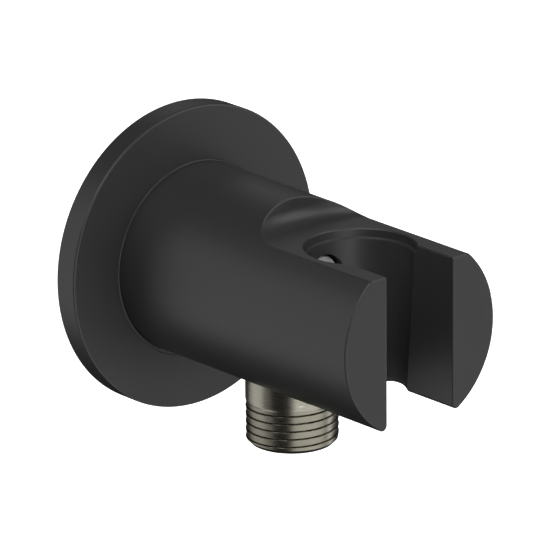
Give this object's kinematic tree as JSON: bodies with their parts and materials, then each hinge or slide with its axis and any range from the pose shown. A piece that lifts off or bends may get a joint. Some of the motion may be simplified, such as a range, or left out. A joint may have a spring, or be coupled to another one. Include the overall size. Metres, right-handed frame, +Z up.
{
  "type": "hand shower bracket",
  "caption": "wall-mounted hand shower bracket with a round wall flange, a forked round arm with a conical handset socket, and a threaded hose outlet underneath",
  "frame": {"origin": "on the arm's axis, in the wall plane that the flange and its gasket rest on", "axes": "+Y points into the wall and the arm reaches out along -Y, +Z is up, and +X is to the right for someone who faces the wall. The hose outlet points along -Z."},
  "size_m": [0.0706, 0.0965, 0.0706],
  "materials": {
    "black_coating": "matte black powder coating on zinc",
    "black_plastic": "matte black moulded plastic",
    "foam": "soft closed-cell foam",
    "rubber": "smooth black rubber",
    "brass": "plain turned brass",
    "nickel": "turned and nickel plated",
    "fibre": "pressed fibre washer",
    "steel": "stainless steel",
    "white_plastic": "moulded white plastic"
  },
  "bodies": {
    "root": {"holder_body": "black_coating", "wall_flange": "black_coating", "slot_cover": "black_plastic", "flange_gasket": "foam", "flange_grip_ring": "rubber", "elbow_body": "brass", "wall_nipple": "brass", "outlet_nipple": "nickel", "outlet_washer": "fibre", "fixing_screw": "steel", "lock_screw": "steel", "check_valve": "white_plastic", "valve_seal": "rubber", "valve_retaining_ring": "steel", "nipple_rear_seal": "rubber", "nipple_front_seal": "rubber", "inlet_strainer": "steel"}
  },
  "joints": []
}
